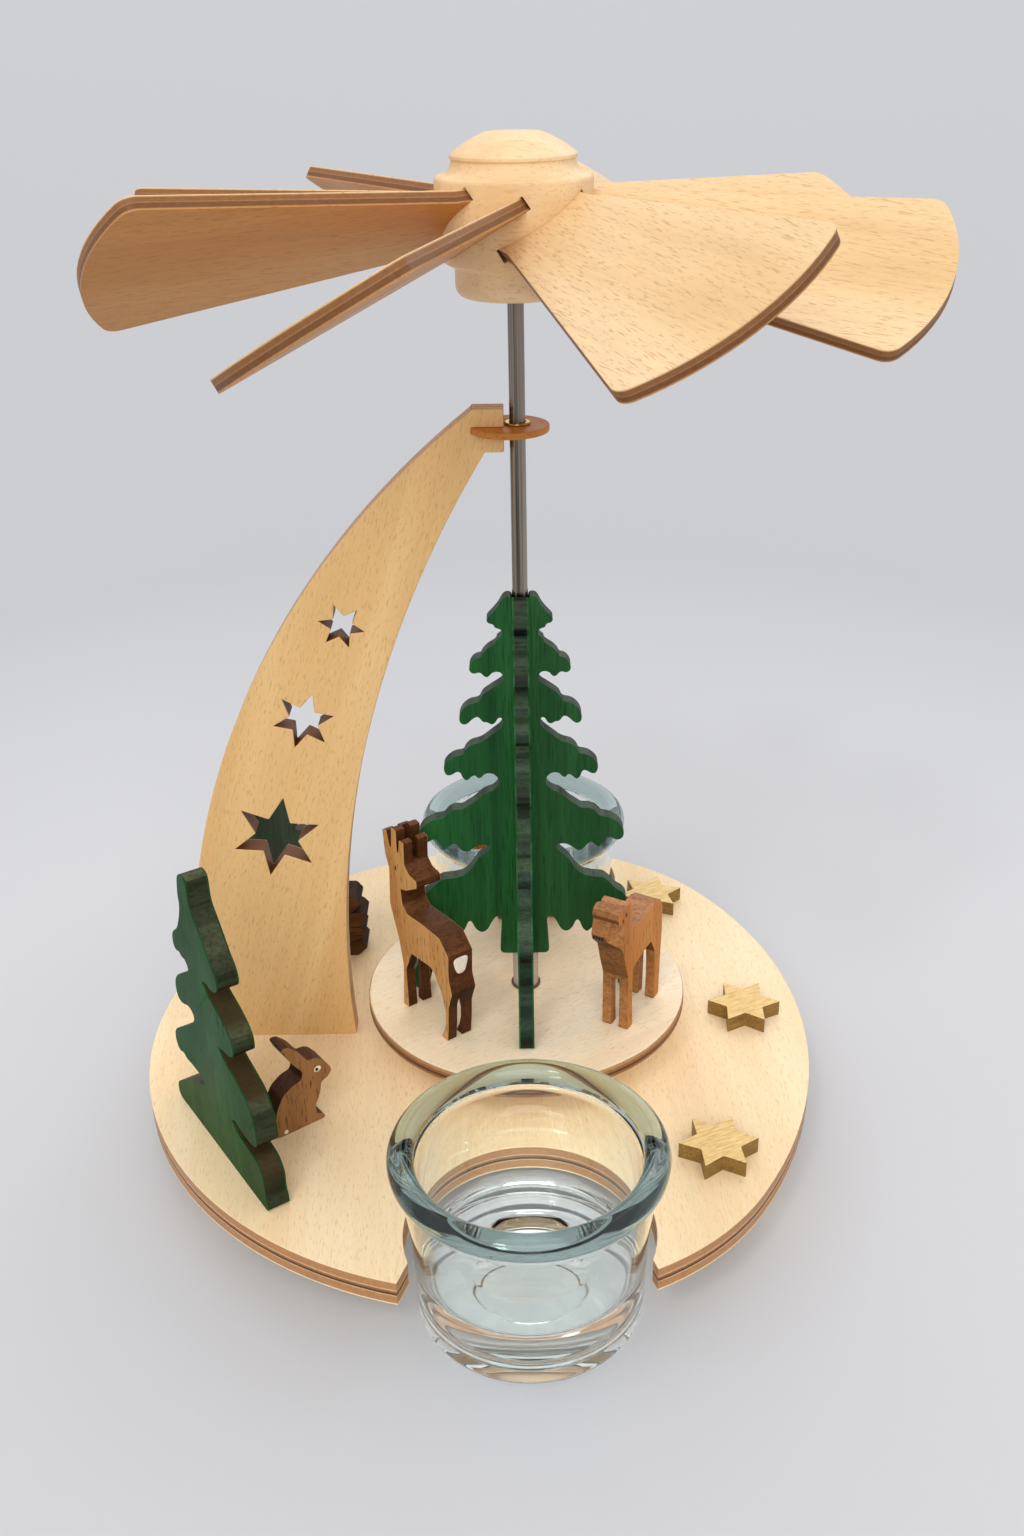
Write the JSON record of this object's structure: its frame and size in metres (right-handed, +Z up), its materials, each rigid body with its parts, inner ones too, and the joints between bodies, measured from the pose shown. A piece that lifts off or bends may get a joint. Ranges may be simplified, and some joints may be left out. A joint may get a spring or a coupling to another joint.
{
  "type": "christmas pyramid",
  "caption": "Wooden heat carousel: oval base, crescent arch and steel spindle with turntable, tree, deer and pitched-blade wind wheel, turned by warm air from tealights in glasses.",
  "frame": {"origin": "on the spindle's axis, on the surface that the feet and the glasses stand on", "axes": "+Z up along the spindle, +X to the right and away from the arch, +Y from the front glass to the rear one"},
  "size_m": [0.1573, 0.1802, 0.2045],
  "materials": {
    "beech_plywood": "smooth, clear lacquer",
    "beech_turned": "turned, clear lacquer",
    "green_stain": "stained, grain showing",
    "deer_stain": "stained, grain showing",
    "dark_stain": "stained, saw marks",
    "gold_paint": "gold paint",
    "steel": "drawn rod",
    "brass": "turned",
    "sleeve": "matte",
    "rubber": "matte",
    "glass": "clear pressed glass"
  },
  "bodies": {
    "stand": {"base_plate": "beech_plywood", "foot_1": "beech_turned", "foot_2": "beech_turned", "foot_3": "beech_turned", "foot_4": "beech_turned", "pivot_cup": "brass", "arch_support": "beech_plywood", "guide_disc": "beech_turned", "guide_bush": "brass", "front_fir": "green_stain", "rear_fir": "green_stain", "rabbit": "dark_stain", "wood_pile": "dark_stain", "gold_star_1": "gold_paint", "gold_star_2": "gold_paint", "gold_star_3": "gold_paint"},
    "carousel": {"spindle": "steel", "turntable": "beech_plywood", "turntable_boss": "beech_turned", "tree_sleeve": "sleeve", "sleeve_ring": "rubber", "tree_board_left": "green_stain", "tree_board_right": "green_stain", "tree_board_front": "green_stain", "tree_board_back": "green_stain", "stag": "deer_stain", "doe": "deer_stain", "fawn": "deer_stain", "wheel_hub": "beech_turned", "blade_1": "beech_turned", "blade_2": "beech_turned", "blade_3": "beech_turned", "blade_4": "beech_turned", "blade_5": "beech_turned", "blade_6": "beech_turned", "blade_7": "beech_turned", "blade_8": "beech_turned"},
    "front_cup": {"front_glass": "glass"},
    "rear_cup": {"rear_glass": "glass"}
  },
  "joints": [
    {"name": "carousel_spin", "type": "hinge", "parent": "stand", "child": "carousel", "pos_m": [0, 0, 0], "axis": [0, 0, 1], "continuous": true},
    {"name": "front_glass_pull", "type": "slide", "parent": "stand", "child": "front_cup", "axis": [0, -1, 0], "range_m": [0, 0.05]},
    {"name": "rear_glass_pull", "type": "slide", "parent": "stand", "child": "rear_cup", "axis": [0, 1, 0], "range_m": [0, 0.05]}
  ]
}
